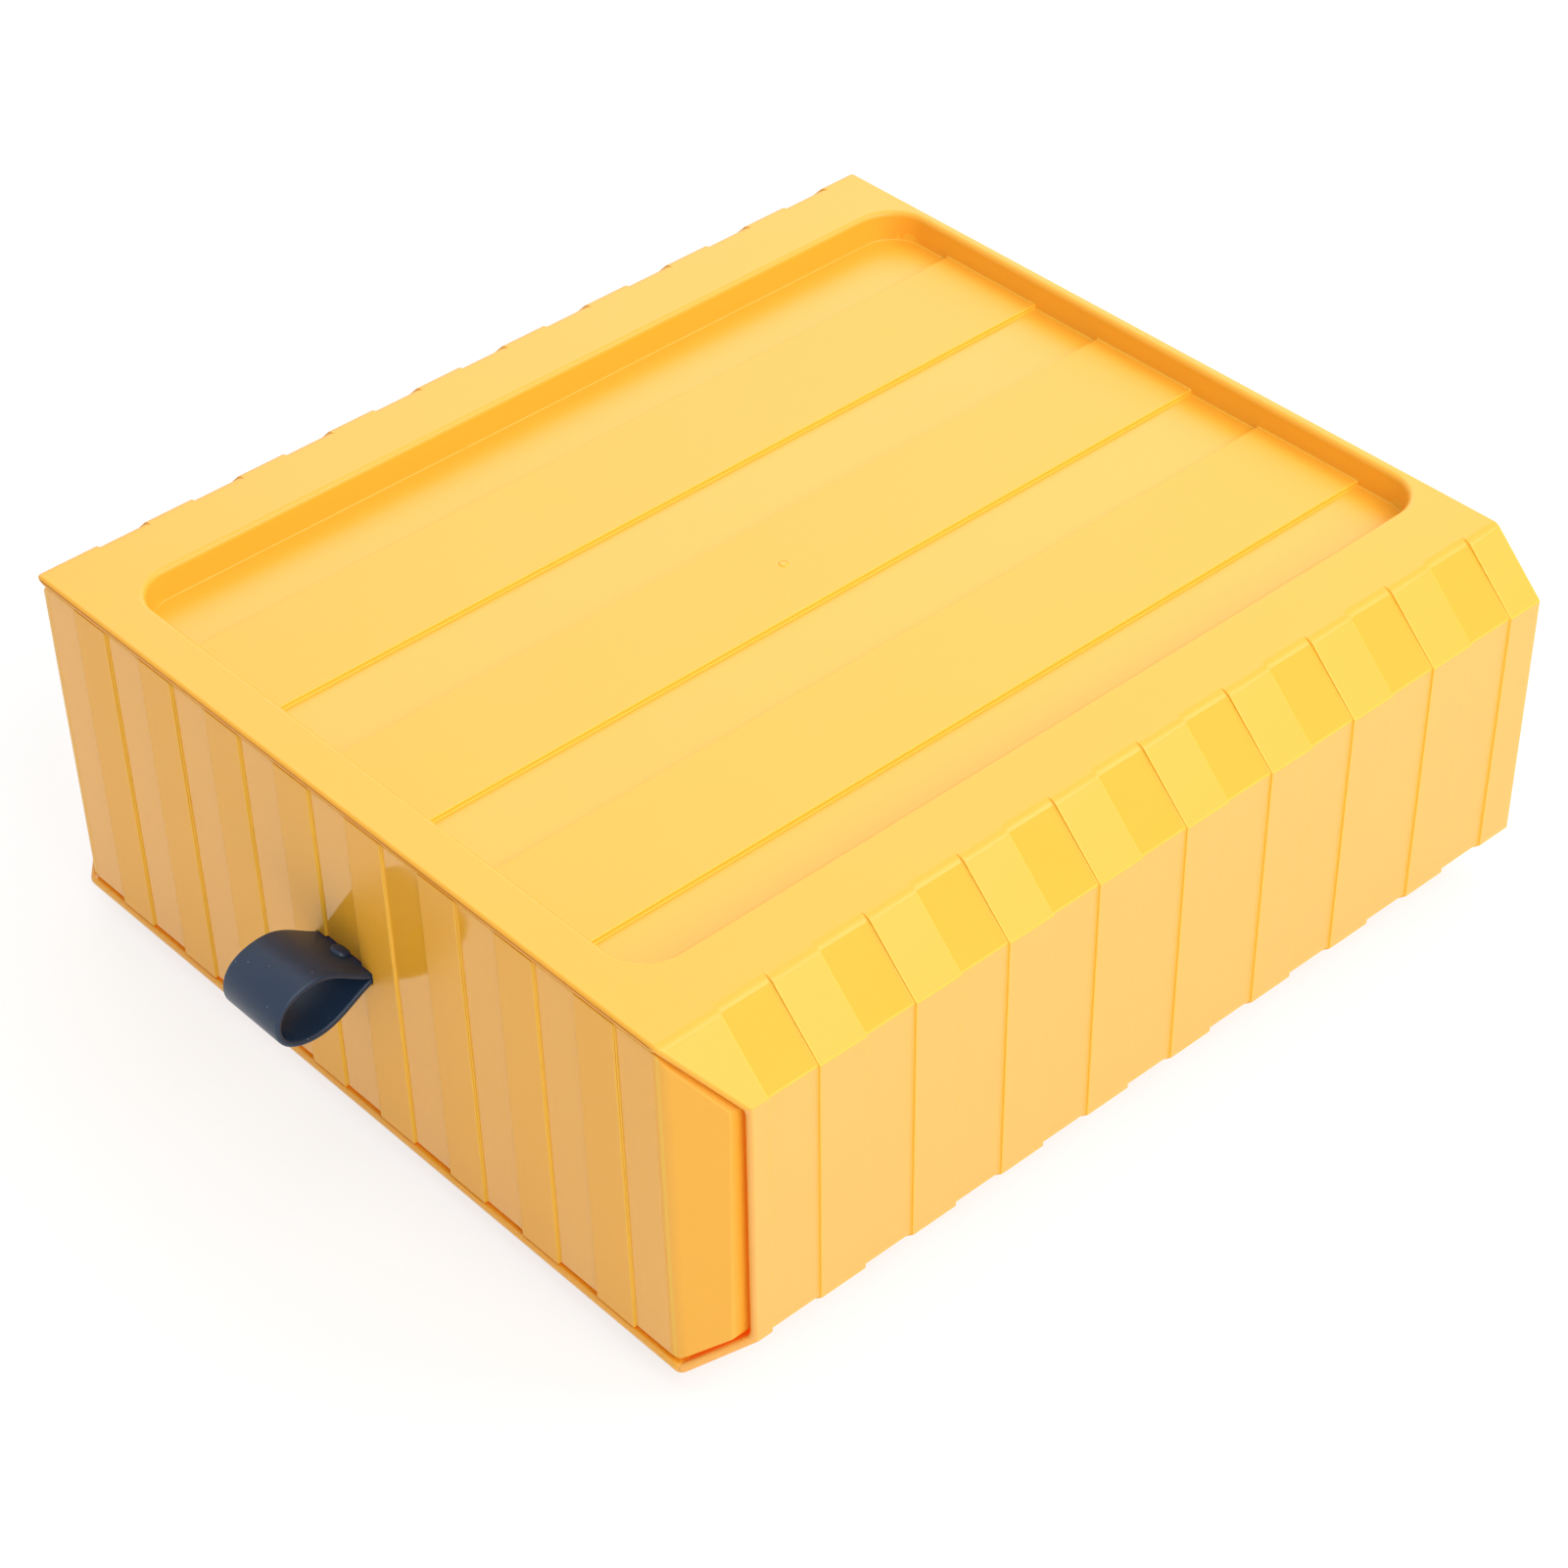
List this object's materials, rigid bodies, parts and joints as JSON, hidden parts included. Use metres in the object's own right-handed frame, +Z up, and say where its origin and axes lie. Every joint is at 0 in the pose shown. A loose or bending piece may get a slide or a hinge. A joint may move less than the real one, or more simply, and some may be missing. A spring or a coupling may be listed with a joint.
{
  "type": "stackable drawer box",
  "caption": "Shallow stackable drawer box of moulded plastic: an octagonal housing with banded sides and a stacking recess, and a sliding drawer with a soft pull loop.",
  "frame": {"origin": "middle of the stacking foot, on the plane that it stands on", "axes": "+X across the front to the right as seen from the front, +Y towards the back, +Z up; the drawer opens towards -Y"},
  "size_m": [0.283, 0.3212, 0.114],
  "materials": {
    "yellow_plastic": "gloss, with satin raised bands",
    "navy_elastomer": "satin"
  },
  "bodies": {
    "housing": {"housing": "yellow_plastic"},
    "drawer": {"drawer": "yellow_plastic", "pull_loop": "navy_elastomer"}
  },
  "joints": [
    {"name": "drawer_slide", "type": "slide", "parent": "housing", "child": "drawer", "axis": [0, -1, 0], "range_m": [0, 0.22]}
  ]
}
